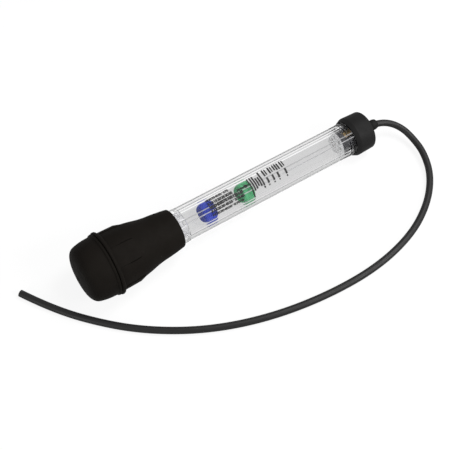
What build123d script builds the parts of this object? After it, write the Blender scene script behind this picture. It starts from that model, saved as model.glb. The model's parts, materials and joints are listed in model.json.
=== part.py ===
from build123d import *
from math import atan, cos, pi, radians, sin, tan
import os

# Diesel exhaust fluid tester: a rubber bulb draws fluid through a hose into a clear barrel,
# where two floats of different density show its strength.
# Lengths are in millimetres. Stations run along the tester from the bulb's closed end.
# The tester lies on its bulb's bead and on its end cap, so its axis slopes down to the cap.
# The origin is on the bench, under the middle of the tester, and +X runs towards the hose.

# Clearances and overrun
fit_gap = 0.05
moving_gap = 0.3
grip_gap = 0.15
cut_overrun = 1.0

# Squeeze bulb, outside
bulb_length = 94.7
crown_radius = 16.8
crown_rise = 1.4
dimple_radius = 1.2
dimple_depth = 0.9
shoulder_station = 17.4
shoulder_radius = 26.5
bead_station = 26.1
bead_rise = 2.1
bead_half_width = 3.9
bead_foot_radius = 27.2
bead_foot_depth = 0.7
bead_slot_offset = 0.6
bead_slot_width = 1.6
bead_slot_depth = 1.5
belly_radius = 26.2
flank_station = 59.4
flank_radius = 23.3
waist_station = 79.4
waist_wall = 4.8
lip_wall = 2.85
lip_round = 1.1

# Squeeze bulb, inside
bulb_wall = 2.6
neck_grip_length = 16.4
neck_step_length = 1.6

# Grip pads round the bulb
pad_count = 4
pad_arc = 43.0
pad_root_depth = 1.2
pad_rise = 0.9
pad_top_fall = 0.5
pad_length = 23.4
pad_end_slant = 7.2
pad_end_drop = 2.3
pad_end_depth = 1.9
pad_round = 0.7
slit_width = 0.8
slit_turn = 0.9
slit_start_gap = 4.0
slit_end_gap = 4.2
slit_end_depth = 0.3

# Clear barrel
barrel_across_flats = 30.4
barrel_sides = 8
corner_bevel = 2.6
barrel_bore_radius = 12.0
collar_length = 5.6
collar_radius = 15.9
groove_length = 1.1
groove_radius = 15.0
facet_length = 174.3
neck_spigot_radius = 15.0
cap_spigot_radius = 15.6
spigot_chamfer = 0.8

# Castellated float stop in the bulb end of the barrel
stop_wall = 2.3
stop_reach = 24.2
stop_flange_inset = 1.2
stop_flange_length = 1.2
stop_teeth = 8
stop_slot_width = 3.4
stop_slot_depth = 3.0

# Floats
float_side_gap = 1.1
float_length = 13.0
float_chamfer = 1.6
float_wall = 1.3
float_lid_length = 3.2
float_plug_length = 1.6
ballast_radius = 6.5
blue_float_gap = 18.6
float_spacing = 26.7
blue_ballast_length = 2.4
green_ballast_length = 3.6

# Inlet cage, the black plug in the cap end of the barrel
cage_length = 29.3
cage_wall = 1.7
cage_face_length = 2.2
cage_floor_length = 5.0
cage_hole_radius = 2.2
cage_hole_circle = 6.0
cage_hole_count = 6
window_count = 4
window_turn = -22.5
window_length = 19.4
window_width = 9.4

# End cap
cap_length = 20.8
cap_mouth_wall = 1.45
cap_rim_wall = 3.25
cap_side_wall = 2.65
cap_mouth_taper = 4.0
cap_end_round = 1.0
cap_end_wall = 2.5
spout_wall = 1.175
spout_length = 7.7
spout_nose_wall = 0.625
spout_nose_length = 3.0

# Seals
gasket_length = 1.5
washer_length = 1.0
washer_radius = 6.6

# Brass hose fitting
hex_across_flats = 14.0
hex_length = 14.8
hex_chamfer = 0.6
shank_radius = 3.0
shank_past_cap = 4.9
barb_fit = 0.07
barb_ridge_height = 0.23
barb_pitch = 1.9
barb_ridges = 3
fitting_bore_radius = 0.9

# Collar at the spout's mouth
ring_length = 6.5
ring_wall = 1.825
ring_end_wall = 1.075
ring_flare_length = 3.0
ring_flare_width = 0.775

# Hose
hose_radius = 3.175
hose_bore_radius = 1.75
hose_first_run = 9.8
hose_bend_share = 0.45

# The tester lies turned about its axis, with a barrel corner and a grip pad up and to -Y
lying_turn = 28.6

# Radii worked out from the parts they fit on
bead_radius = bead_foot_radius + bead_rise
pad_top_radius = belly_radius + pad_rise
pad_end_radius = pad_top_radius - pad_top_fall - pad_end_drop
neck_bore_radius = neck_spigot_radius + grip_gap
lip_radius = neck_bore_radius + lip_wall
waist_radius = neck_bore_radius + waist_wall
stop_radius = barrel_bore_radius - fit_gap
stop_flange_radius = neck_spigot_radius - stop_flange_inset
float_radius = barrel_bore_radius - float_side_gap
cap_bore_radius = cap_spigot_radius + fit_gap
cap_mouth_radius = cap_bore_radius + cap_mouth_wall
cap_rim_radius = cap_bore_radius + cap_rim_wall
cap_end_radius = cap_bore_radius + cap_side_wall
barb_ridge_radius = hose_bore_radius - barb_fit
barb_radius = barb_ridge_radius - barb_ridge_height
socket_radius = hose_radius + fit_gap
spout_radius = socket_radius + spout_wall
spout_nose_radius = socket_radius + spout_nose_wall
ring_radius = socket_radius + ring_wall
ring_end_radius = socket_radius + ring_end_wall
ring_flare_radius = socket_radius + ring_flare_width

# Stations along the tester
neck_spigot_start = bulb_length - neck_grip_length
stop_end = neck_spigot_start + stop_reach
collar_start = bulb_length + fit_gap
facet_start = collar_start + collar_length + groove_length
facet_end = facet_start + facet_length
blue_float_station = stop_end + blue_float_gap + float_length / 2
green_float_station = blue_float_station + float_spacing + float_length
cap_start = facet_end + groove_length + collar_length
cap_end = cap_start + cap_length
gasket_end = cap_end - cap_end_wall
barrel_end = gasket_end - gasket_length
cage_start = barrel_end - cage_length
spout_end = cap_end + spout_length
ring_end = spout_end + ring_length
hose_start = cap_end + shank_past_cap + fit_gap

# The slope at which both the bead and the lowest circle of the cap touch the bench
cap_circles = [
    (cap_start + cap_mouth_taper, cap_rim_radius),
    (cap_end - cap_end_round, cap_end_radius),
]
slope = min(atan((bead_radius - radius) / (station - bead_station)) for station, radius in cap_circles)
axis_direction = Vector(cos(slope), 0, -sin(slope))
nose_height = bead_radius * cos(slope) + bead_station * sin(slope)
crown_sphere = (crown_radius**2 + crown_rise**2) / (2 * crown_rise)
crown_swing = crown_sphere * (1 - cos(slope))
ring_reach = ring_end * cos(slope) + ring_end_radius * sin(slope)
nose_x = (crown_swing - ring_reach) / 2

upright = Plane(origin=(nose_x, 0, nose_height), x_dir=axis_direction, z_dir=(0, -1, 0))
tester_axis = Axis(origin=upright.origin, direction=axis_direction)


def lengthwise(turn=0, drop=0):
    """Plane through the axis: its X is the station and its Y the radius, at a turn from the front corner."""
    angle = radians(lying_turn + turn)
    normal = upright.z_dir * cos(angle) - upright.y_dir * sin(angle)
    return Plane(origin=upright.from_local_coords((0, -drop, 0)), x_dir=axis_direction, z_dir=normal)


def across(station):
    """Plane square to the axis at a station, its X towards the barrel's front corner."""
    centre = upright.from_local_coords((station, 0, 0))
    return Plane(origin=centre, x_dir=lengthwise().y_dir, z_dir=axis_direction)


def turned(points, drop=0, mode=Mode.ADD):
    """Turn a straight-sided outline of (station, radius) points about the tester's axis."""
    plane = lengthwise(drop=drop)
    with BuildSketch(plane) as outline:
        with BuildLine():
            Polyline(*points, close=True)
        make_face()
    revolve(outline.sketch, axis=Axis(origin=plane.origin, direction=axis_direction), mode=mode)


def bar(start, end, radius, mode=Mode.ADD):
    """Round bar on the tester's axis between two stations."""
    with BuildSketch(across(start)) as section:
        Circle(radius)
    extrude(section.sketch, amount=end - start, mode=mode)


def off_axis(face):
    """Distance of a face's centre from the tester's axis."""
    return (face.center() - tester_axis.position).cross(axis_direction).length


def bulb_profile(inset):
    """Bulb outline from its crown to its flank, without the bead, moved inwards by inset."""
    rise = (inset + crown_rise, crown_radius)
    shoulder = (shoulder_station, shoulder_radius - inset)
    foot = (bead_station - bead_half_width, bead_foot_radius - inset)
    belly = (bead_station + bead_half_width, belly_radius - inset)
    crown = TangentArc((inset, 0), rise, tangent=(0, 1))
    TangentArc(rise, shoulder, tangent=crown % 1)
    Polyline(shoulder, foot, belly)
    return TangentArc(belly, (flank_station, flank_radius - inset), tangent=(1, 0))


# Grip pad of the bulb, one of four alike
pad_start = bead_station
pad_end = bead_station + bead_half_width + pad_length
with BuildPart() as grip_pad:
    with BuildSketch(lengthwise(turn=-pad_arc / 2)):
        with BuildLine():
            Polyline(
                (pad_start, belly_radius - pad_root_depth),
                (pad_start, pad_top_radius),
                (pad_end - pad_end_slant, pad_top_radius - pad_top_fall),
                (pad_end, pad_end_radius),
                (pad_end, pad_end_radius - pad_end_depth),
                close=True,
            )
        make_face()
    revolve(axis=tester_axis, revolution_arc=pad_arc)
    pad_top = grip_pad.faces().sort_by(off_axis)[-1]
    fillet(pad_top.edges(), radius=pad_round)

# Squeeze bulb: crown, bead, belly, waist and neck, with its grip pads and its cavity
neck_step_end = neck_spigot_start - stop_flange_length - moving_gap
bead_foot = bead_foot_radius - bead_foot_depth
bead_start = bead_station - bead_half_width
slot_middle = bead_station - bead_slot_offset
with BuildPart() as squeeze_bulb:
    with BuildSketch(lengthwise()):
        with BuildLine():
            belly_arc = bulb_profile(0)
            waist_arc = TangentArc(belly_arc @ 1, (waist_station, waist_radius), tangent=belly_arc % 1)
            neck_arc = TangentArc(waist_arc @ 1, (bulb_length - lip_round, lip_radius), tangent=waist_arc % 1)
            TangentArc(neck_arc @ 1, (bulb_length, lip_radius - lip_round), tangent=(1, 0))
            Polyline((bulb_length, lip_radius - lip_round), (bulb_length, 0), (0, 0))
        make_face()
    revolve(axis=tester_axis)
    for number in range(pad_count):
        add(grip_pad.part.rotate(tester_axis, 360 / pad_count * number))
    with BuildSketch(lengthwise()):
        with BuildLine():
            ThreePointArc(
                (bead_start, bead_foot),
                (bead_station, bead_radius),
                (bead_station + bead_half_width, bead_foot),
            )
            Polyline(
                (bead_station + bead_half_width, bead_foot),
                (bead_station + bead_half_width, bead_foot - bulb_wall / 2),
                (bead_start, bead_foot - bulb_wall / 2),
                (bead_start, bead_foot),
            )
        make_face()
    revolve(axis=tester_axis)
    turned(
        [
            (slot_middle - bead_slot_width / 2, bead_radius + cut_overrun),
            (slot_middle - bead_slot_width / 2, bead_radius),
            (slot_middle, bead_radius - bead_slot_depth),
            (slot_middle + bead_slot_width / 2, bead_radius),
            (slot_middle + bead_slot_width / 2, bead_radius + cut_overrun),
        ],
        mode=Mode.SUBTRACT,
    )
    slit_start = bead_station + bead_half_width + slit_start_gap
    slit_end = pad_end - slit_end_gap
    for number in range(pad_count):
        for side in (-1, 1):
            with BuildSketch(lengthwise(turn=side * (pad_arc / 2 + slit_turn) + 360 / pad_count * number)):
                with BuildLine():
                    Polyline(
                        (slit_start, belly_radius),
                        (slit_end, pad_end_radius - slit_end_depth),
                        (slit_end, bead_radius),
                        (slit_start, bead_radius),
                        close=True,
                    )
                make_face()
            extrude(amount=slit_width / 2, both=True, mode=Mode.SUBTRACT)
    with BuildSketch(lengthwise()):
        with BuildLine():
            belly_arc = bulb_profile(bulb_wall)
            throat = (neck_step_end - neck_step_length, waist_radius - bulb_wall + neck_step_length / 4)
            TangentArc(belly_arc @ 1, throat, tangent=belly_arc % 1)
            Polyline(
                throat,
                (neck_step_end, neck_bore_radius),
                (bulb_length + cut_overrun, neck_bore_radius),
                (bulb_length + cut_overrun, 0),
                (bulb_wall, 0),
            )
        make_face()
    revolve(axis=tester_axis, mode=Mode.SUBTRACT)
    bar(-cut_overrun, dimple_depth, dimple_radius, mode=Mode.SUBTRACT)

# Clear barrel: eight flats with bevelled corners, a collar and a round spigot at each end
corner_cut = corner_bevel / (2 * cos(pi / barrel_sides))
with BuildPart() as barrel:
    with BuildSketch(across(facet_start)):
        RegularPolygon(barrel_across_flats / 2, barrel_sides, major_radius=False)
        chamfer(vertices(), length=corner_cut)
    extrude(amount=facet_length)
    turned(
        [
            (neck_spigot_start, 0),
            (neck_spigot_start, neck_spigot_radius - spigot_chamfer),
            (neck_spigot_start + spigot_chamfer, neck_spigot_radius),
            (collar_start, neck_spigot_radius),
            (collar_start, collar_radius),
            (collar_start + collar_length, collar_radius),
            (collar_start + collar_length, groove_radius),
            (facet_start, groove_radius),
            (facet_start, 0),
        ]
    )
    turned(
        [
            (facet_end, 0),
            (facet_end, groove_radius),
            (facet_end + groove_length, groove_radius),
            (facet_end + groove_length, collar_radius),
            (cap_start, collar_radius),
            (cap_start, cap_spigot_radius),
            (barrel_end - spigot_chamfer, cap_spigot_radius),
            (barrel_end, cap_spigot_radius - spigot_chamfer),
            (barrel_end, 0),
        ]
    )
    bar(neck_spigot_start - cut_overrun, barrel_end + cut_overrun, barrel_bore_radius, mode=Mode.SUBTRACT)

# Float stop: a flanged sleeve whose castellated end lets fluid past a float
with BuildPart() as float_stop:
    turned(
        [
            (neck_spigot_start - stop_flange_length, stop_radius - stop_wall),
            (neck_spigot_start - stop_flange_length, stop_flange_radius),
            (neck_spigot_start - fit_gap, stop_flange_radius),
            (neck_spigot_start - fit_gap, stop_radius),
            (stop_end, stop_radius),
            (stop_end, stop_radius - stop_wall),
        ]
    )
    with BuildSketch(across(stop_end)):
        with PolarLocations(stop_radius, stop_teeth):
            Rectangle(2 * stop_wall + cut_overrun, stop_slot_width)
    extrude(amount=-stop_slot_depth, mode=Mode.SUBTRACT)


def float_pieces(station, ballast_length):
    """Shell, lid and ballast of a float with its middle at a station, lying on the bore's wall."""
    drop = barrel_bore_radius - float_radius - moving_gap
    start = station - float_length / 2
    end = station + float_length / 2
    seam = end - float_lid_length
    plug_radius = float_radius - float_wall - fit_gap
    with BuildPart() as shell:
        turned(
            [
                (start, 0),
                (start, float_radius - float_chamfer),
                (start + float_chamfer, float_radius),
                (seam, float_radius),
                (seam, float_radius - float_wall),
                (start + float_wall, float_radius - float_wall),
                (start + float_wall, 0),
            ],
            drop=drop,
        )
    with BuildPart() as lid:
        turned(
            [
                (seam - float_plug_length, 0),
                (seam - float_plug_length, plug_radius),
                (seam + fit_gap, plug_radius),
                (seam + fit_gap, float_radius),
                (end - float_chamfer, float_radius),
                (end, float_radius - float_chamfer),
                (end, 0),
            ],
            drop=drop,
        )
    ballast_start = start + float_wall + fit_gap
    with BuildPart() as ballast:
        turned(
            [
                (ballast_start, 0),
                (ballast_start, ballast_radius),
                (ballast_start + ballast_length, ballast_radius),
                (ballast_start + ballast_length, 0),
            ],
            drop=drop,
        )
    return shell, lid, ballast


blue_shell, blue_lid, blue_ballast = float_pieces(blue_float_station, blue_ballast_length)
green_shell, green_lid, green_ballast = float_pieces(green_float_station, green_ballast_length)

# Inlet cage: a cup with a drilled face towards the floats and windows round its side
cage_radius = barrel_bore_radius - fit_gap
cage_floor_start = barrel_end - cage_floor_length
with BuildPart() as inlet_cage:
    bar(cage_start, barrel_end, cage_radius)
    bar(cage_start + cage_face_length, cage_floor_start, cage_radius - cage_wall, mode=Mode.SUBTRACT)
    bar(cage_floor_start - cut_overrun, barrel_end + cut_overrun, shank_radius + fit_gap, mode=Mode.SUBTRACT)
    with BuildSketch(across(cage_start - cut_overrun)):
        Circle(cage_hole_radius)
        with PolarLocations(cage_hole_circle, cage_hole_count):
            Circle(cage_hole_radius)
    extrude(amount=cage_face_length + 2 * cut_overrun, mode=Mode.SUBTRACT)
    for number in range(window_count):
        with BuildSketch(lengthwise(turn=window_turn + 360 / window_count * number)):
            with Locations((cage_floor_start - window_length / 2, cage_radius)):
                Rectangle(window_length, 2 * cage_wall + cut_overrun)
        extrude(amount=window_width / 2, both=True, mode=Mode.SUBTRACT)

# Brass fitting: hexagon inside the cage, shank through the cap, barb in the hose
hex_end = cage_floor_start - washer_length - fit_gap
hex_start = hex_end - hex_length
with BuildPart() as hose_fitting:
    with BuildSketch(across(hex_start)):
        RegularPolygon(hex_across_flats / 2, 6, major_radius=False)
    extrude(amount=hex_length)
    chamfer(hose_fitting.faces().sort_by(tester_axis)[0].edges(), length=hex_chamfer)
    bar(hex_end, cap_end + shank_past_cap, shank_radius)
    barb_start = cap_end + shank_past_cap
    barb_end = barb_start + barb_pitch * barb_ridges
    barb_points = [(barb_start, 0), (barb_start, barb_radius)]
    for number in range(barb_ridges):
        ridge = barb_start + barb_pitch * (number + 1 / 2)
        barb_points += [(ridge, barb_radius), (ridge, barb_ridge_radius), (ridge + barb_pitch / 2, barb_radius)]
    turned(barb_points + [(barb_end, 0)])
    bar(hex_start - cut_overrun, barb_end + cut_overrun, fitting_bore_radius, mode=Mode.SUBTRACT)

# Rubber washer under the hexagon
with BuildPart() as fitting_washer:
    bar(cage_floor_start - washer_length, cage_floor_start, washer_radius)
    bar(
        cage_floor_start - washer_length - cut_overrun,
        cage_floor_start + cut_overrun,
        shank_radius + fit_gap,
        mode=Mode.SUBTRACT,
    )

# Rubber gasket between the barrel's end and the cap
with BuildPart() as cap_gasket:
    bar(barrel_end, gasket_end, cap_bore_radius - fit_gap)
    bar(barrel_end - cut_overrun, gasket_end + cut_overrun, shank_radius + fit_gap, mode=Mode.SUBTRACT)

# End cap with its spout
socket_start = cap_end + shank_past_cap
with BuildPart() as end_cap:
    with BuildSketch(lengthwise()):
        with BuildLine():
            Polyline(
                (gasket_end, 0),
                (gasket_end, cap_bore_radius),
                (cap_start, cap_bore_radius),
                (cap_start, cap_mouth_radius),
                (cap_start + cap_mouth_taper, cap_rim_radius),
                (cap_end - cap_end_round, cap_end_radius),
            )
            TangentArc(
                (cap_end - cap_end_round, cap_end_radius),
                (cap_end, cap_end_radius - cap_end_round),
                tangent=(1, 0),
            )
            Polyline(
                (cap_end, cap_end_radius - cap_end_round),
                (cap_end, spout_radius),
                (spout_end, spout_radius),
                (spout_end, spout_nose_radius),
                (spout_end + spout_nose_length, spout_nose_radius),
                (spout_end + spout_nose_length, 0),
                (gasket_end, 0),
            )
        make_face()
    revolve(axis=tester_axis)
    bar(gasket_end - cut_overrun, cap_end + cut_overrun, shank_radius + fit_gap, mode=Mode.SUBTRACT)
    bar(cap_end, socket_start, shank_radius + fit_gap, mode=Mode.SUBTRACT)
    bar(socket_start, spout_end + spout_nose_length + cut_overrun, socket_radius, mode=Mode.SUBTRACT)

# Collar ring on the spout's mouth, flared inside where the hose bends away
ring_seat = spout_end + spout_nose_length + fit_gap
with BuildPart() as hose_collar:
    with BuildSketch(lengthwise()):
        with BuildLine():
            ThreePointArc(
                (spout_end + fit_gap, ring_end_radius),
                ((spout_end + ring_end) / 2, ring_radius),
                (ring_end, ring_end_radius),
            )
            Polyline(
                (ring_end, ring_end_radius),
                (ring_end, ring_flare_radius),
                (ring_end - ring_flare_length, socket_radius),
                (ring_seat, socket_radius),
                (ring_seat, spout_nose_radius + fit_gap),
                (spout_end + fit_gap, spout_nose_radius + fit_gap),
                (spout_end + fit_gap, ring_end_radius),
            )
        make_face()
    revolve(axis=tester_axis)

# Hose: out of the spout, down to the bench and round the front of the tester to its bare end
hose_route = [
    upright.from_local_coords((hose_start, 0, 0)),
    upright.from_local_coords((hose_start + hose_first_run, 0, 0)),
    Vector(168.4, -3.1, 16.3),
    Vector(176.3, -9.3, 14.7),
    Vector(183.9, -21.6, 11.8),
    Vector(184.7, -43.6, 7.2),
    Vector(172.5, -67.9, 3.6),
    Vector(149.0, -91.4, 3.3),
    Vector(115.4, -109.3, 3.3),
    Vector(69.0, -118.9, 3.3),
    Vector(15.5, -117.3, 3.3),
    Vector(-39.5, -106.9, 3.3),
    Vector(-90.2, -87.1, 3.3),
    Vector(-134.7, -57.3, 3.3),
    Vector(-168.6, -22.4, 3.3),
    Vector(-191.1, 9.2, 3.3),
    Vector(-202.6, 30.4, 3.3),
]
hose_radii = []
for before, corner, after in zip(hose_route, hose_route[1:], hose_route[2:]):
    turn = radians((corner - before).get_angle(after - corner))
    shorter_run = min((corner - before).length, (after - corner).length)
    hose_radii.append(hose_bend_share * shorter_run / tan(turn / 2))
print("hose radii in mm:", [round(radius, 1) for radius in hose_radii])

with BuildPart() as inlet_hose:
    with BuildLine() as hose_path:
        FilletPolyline(*hose_route, radius=hose_radii)
    with BuildSketch(across(hose_start)):
        Circle(hose_radius)
        Circle(hose_bore_radius, mode=Mode.SUBTRACT)
    sweep()
hose_length = sum(edge.length for edge in hose_path.edges())
hose_section = pi * (hose_radius**2 - hose_bore_radius**2)
print("hose length in mm:", round(hose_length, 1))
print("hose volume over section times length:", round(inlet_hose.part.volume / (hose_section * hose_length), 4))

pieces = {
    "squeeze_bulb": squeeze_bulb,
    "barrel": barrel,
    "float_stop": float_stop,
    "blue_float_shell": blue_shell,
    "blue_float_lid": blue_lid,
    "blue_float_ballast": blue_ballast,
    "green_float_shell": green_shell,
    "green_float_lid": green_lid,
    "green_float_ballast": green_ballast,
    "inlet_cage": inlet_cage,
    "hose_fitting": hose_fitting,
    "fitting_washer": fitting_washer,
    "cap_gasket": cap_gasket,
    "end_cap": end_cap,
    "hose_collar": hose_collar,
    "inlet_hose": inlet_hose,
}
os.makedirs("parts", exist_ok=True)
for name, piece in pieces.items():
    piece.part.label = name
    export_step(piece.part, f"parts/{name}.step")
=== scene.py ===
"""Diesel exhaust fluid tester: rubber bulb, clear faceted barrel with two floats, and hose."""

import json
from math import asin, cos, degrees, hypot, pi, radians, sin, tan

import bmesh
import bpy
from mathutils import Matrix, Vector


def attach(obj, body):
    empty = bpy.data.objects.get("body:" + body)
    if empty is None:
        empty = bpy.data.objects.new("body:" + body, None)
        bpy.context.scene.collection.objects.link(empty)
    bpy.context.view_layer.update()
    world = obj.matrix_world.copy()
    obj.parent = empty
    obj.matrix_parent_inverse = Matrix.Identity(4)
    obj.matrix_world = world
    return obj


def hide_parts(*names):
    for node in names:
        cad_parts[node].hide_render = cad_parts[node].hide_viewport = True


bl_info = {
    "name": "Exhaust Fluid Tester",
    "version": (1, 0, 0),
    "blender": (4, 5, 0),
    "location": "3D View > Sidebar > Fluid Tester",
    "description": "Builds the visual model of a float-type fluid tester around its packed frame",
    "category": "Object",
}

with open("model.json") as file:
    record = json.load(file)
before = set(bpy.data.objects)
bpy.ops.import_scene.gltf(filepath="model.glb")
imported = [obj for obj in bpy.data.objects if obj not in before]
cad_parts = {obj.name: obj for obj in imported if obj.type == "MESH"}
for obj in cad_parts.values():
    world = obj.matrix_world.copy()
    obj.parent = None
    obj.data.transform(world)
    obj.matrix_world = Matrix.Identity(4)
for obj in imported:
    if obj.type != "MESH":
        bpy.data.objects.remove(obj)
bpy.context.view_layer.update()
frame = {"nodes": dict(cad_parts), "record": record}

MM = 0.001

# The tester's axis, from the mount on the cap's end face, which lies off the axis to one side only
CAP_FACE_STATION = 303.25
cap_face = next(m for m in frame["record"]["mounts"] if m["name"] == "cap_end_face")
AXIS = Vector(cap_face["axis"]).normalized()
face_point = Vector(cap_face["pos_m"])
face_point.y = 0
NOSE = face_point - AXIS * CAP_FACE_STATION * MM
SIDE = Vector((0, 1, 0))
UPRIGHT = AXIS.cross(SIDE)
LYING_TURN = 28.6

# Stations in millimetres along the tester from the bulb's closed end
BEAD_SLOT = 26.1
BEAD_END = 30.0
SLIT_START = 32.0
SLIT_DEEP = 46.0
PAD_SLANT_START = 46.2
SLIT_END = 51.0
PAD_END = 53.4
NECK_STEP = 76.8
NECK_START = 78.3
BULB_END = 94.7
COLLAR_START = 94.75
COLLAR_STOP = 100.35
FACET_START = 101.45
FACET_END = 275.75
CAP_COLLAR = 276.85
CAGE_FACE_END = 272.2
STOP_END = 102.5
CAP_START = 282.45
CAP_RIM = 286.45
BARREL_END = 299.25
GASKET_END = 300.75
SPOUT_END = 310.95
SPOUT_NOSE = 313.95
COLLAR_END = 317.45
BLUE_FLOAT = 127.6
GREEN_FLOAT = 167.3

# Other measures in millimetres
SLIT_FADE = 1.8
PAD_TOP_FALL = 0.5
PAD_SLANT_DROP = 1.9
BARREL_SKIN = 14.5
# Half-width of the painted highlight lines on the barrel's front edges
PAINTED_HIGHLIGHT_REACH = 0.5
CAGE_RADIUS = 11.85
FLOAT_DROP = 0.8

# Seen through the barrel, the floor is grey near a line along X and white farther off, a painted
# shadow of the tester, in metres
PAINTED_SHADOW_LINE, PAINTED_SHADOW_REACH, PAINTED_SHADOW_END = 0.010, 0.024, 0.040

# Soft boxes: name, share of the lamps' power, place and sides in metres, and where they point
LAMPS = (
    ("upper_lamp", 1.0, (0.54, -0.09, 1.12), (0.42, 0.60)),
    ("front_lamp", 1.0, (0.53, -0.84, 0.72), (0.42, 0.60)),
    ("side_lamp", 0.45, (-1.15, -0.35, 0.45), (0.60, 0.60)),
)
LAMP_AIM = Vector((0.03, 0, 0.02))

# Outline of the bulb as (station, radius): crown, bead with its slot, belly to lip, and the inside
CROWN = (
    (0, 0), (0.08, 4.5), (0.25, 8.0), (0.7, 11.95), (1.4, 16.8), (2.4, 20.2), (3.8, 22.6),
    (5.6, 24.35), (7.8, 25.35), (10.5, 26.0), (14.0, 26.65), (18.0, 27.05), (22.9, 27.2),
)
BEAD = (
    (23.3, 27.3), (23.7, 27.9), (24.3, 28.3), (25.4, 28.45), (25.75, 28.1), (26.1, 27.0),
    (26.5, 28.3), (26.9, 28.95), (27.4, 29.15), (28.2, 29.2), (29.0, 28.9), (29.6, 28.2),
    (29.95, 27.4), (30.0, 26.2),
)
BELLY = (
    (30.0, 26.2), (36.0, 26.1), (42.0, 25.8), (48.0, 25.25), (53.4, 24.55), (59.4, 23.4),
    (63.4, 22.45), (67.4, 21.6), (71.4, 20.92), (75.4, 20.48), (79.4, 20.12), (83.4, 19.64),
    (87.4, 19.1), (91.4, 18.5), (93.6, 18.1),
)
HOLLOW = (
    (2.6, 0), (3.2, 13.0), (4.6, 17.8), (8.0, 21.4), (14.0, 23.4), (22.0, 24.2), (30.0, 23.6),
    (45.0, 22.8), (59.4, 20.6), (68.0, 18.9), (75.2, 17.6),
)

# Route of the hose in metres: the solid's points, but the third to seventh follow the photograph
HOSE_ROUTE = (
    (0.1493112, 0.0000, 0.0180486),
    (0.1591034, 0.0000, 0.0176586),
    (0.1719, -0.0051, 0.0152),
    (0.1802, -0.0154, 0.0116),
    (0.1828, -0.0285, 0.0083),
    (0.1816, -0.0460, 0.0066),
    (0.1715, -0.0692, 0.0045),
    (0.1490, -0.0914, 0.0033),
    (0.1154, -0.1093, 0.0033),
    (0.0690, -0.1189, 0.0033),
    (0.0155, -0.1173, 0.0033),
    (-0.0395, -0.1069, 0.0033),
    (-0.0902, -0.0871, 0.0033),
    (-0.1347, -0.0573, 0.0033),
    (-0.1686, -0.0224, 0.0033),
    (-0.1911, 0.0092, 0.0033),
    (-0.2026, 0.0304, 0.0033),
)


def length(label, help_text, value):
    """Property for a length, in metres."""
    return bpy.props.FloatProperty(
        name=label, description=help_text, default=value, min=0.0, unit="LENGTH", precision=5
    )


def tint(label, help_text, value):
    """Property for a colour."""
    return bpy.props.FloatVectorProperty(
        name=label, description=help_text, default=value, size=3, min=0.0, max=1.0, subtype="COLOR"
    )


def amount(label, help_text, value, top=1.0, unit="NONE"):
    """Property for a plain number or for a number of a unit."""
    return bpy.props.FloatProperty(
        name=label, description=help_text, default=value, min=0.0, max=top, unit=unit
    )


def angle(label, help_text, turn):
    """Property for an angle, given in degrees."""
    return bpy.props.FloatProperty(
        name=label, description=help_text, default=radians(turn), subtype="ANGLE"
    )


class TesterSizes(bpy.types.PropertyGroup):
    """Sizes of the tester's pieces."""

    pad_top: length("Pad Top", "Radius of the grip pads at their bead end", 0.0271)
    slit_depth: length("Slit Depth", "Depth of the slits beside each grip pad", 0.0015)
    across_flats: length("Across Flats", "Width of the barrel between opposite flats", 0.0304)
    corner_bevel: length("Corner Bevel", "Width of the narrow facet at each barrel corner", 0.0038)
    corner_round: length("Corner Round", "Reach of the rounding at the facet's edges", 0.0006)
    bore_radius: length("Bore Radius", "Radius of the barrel's bore", 0.0120)
    float_radius: length("Float Radius", "Radius of each float", 0.0104)
    float_length: length("Float Length", "Length of each float", 0.0130)
    hose_diameter: length("Hose Diameter", "Outside diameter of the hose", 0.00635)
    hose_bore: length("Hose Bore", "Bore of the hose", 0.0035)
    hose_length: length("Hose Length", "Length of the hose along its middle", 0.537)
    print_height: length("Print Height", "Height of the print above the barrel's flats", 0.00003)


class TesterColours(bpy.types.PropertyGroup):
    """Colours and gloss of the tester's pieces."""

    bulb: tint("Bulb", "Black rubber of the bulb", (0.0075, 0.0063, 0.0052))
    barrel: tint("Barrel", "Clear plastic of the barrel", (0.998, 0.998, 1.0))
    barrel_index: amount("Barrel Index", "Refractive index of the barrel", 1.36, 2.0)
    barrel_shadow: tint("Barrel Shadow", "Lamp light past the barrel", (0.86, 0.86, 0.88))
    # Painted highlight: white blended into the rounded edges of the barrel's front corner facet,
    # and its share
    edge_white: tint("Edge White", "Light on the barrel's front edges", (0.95, 0.95, 0.96))
    edge_share: amount("Edge Share", "Share of that light on the edges", 0.8)
    stop: tint("Float Stop", "Translucent plastic of the float stop", (0.93, 0.93, 0.94))
    blue_float: tint("Blue Float", "Plastic of the first float", (0.020, 0.045, 0.40))
    green_float: tint("Green Float", "Plastic of the second float", (0.070, 0.34, 0.145))
    cap: tint("Cap", "Black plastic of the cap and its spout", (0.0100, 0.0098, 0.0098))
    cage: tint("Cage", "Black plastic of the inlet cage", (0.012, 0.012, 0.0145))
    # Painted light: pale tone on the black cage's face towards the floats and on its hole walls
    cage_end: tint("Cage End", "Pale face of the inlet cage", (0.78, 0.78, 0.78))
    brass: tint("Brass", "Brass of the hose fitting", (0.62, 0.42, 0.16))
    steel: tint("Ballast", "Steel of the floats' ballast", (0.35, 0.35, 0.36))
    hose: tint("Hose", "Black rubber of the hose", (0.0115, 0.0112, 0.0112))
    seal: tint("Seals", "Rubber of the gasket and washer", (0.012, 0.012, 0.012))
    ink: tint("Print", "Ink of the scale", (0.004, 0.004, 0.004))


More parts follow.
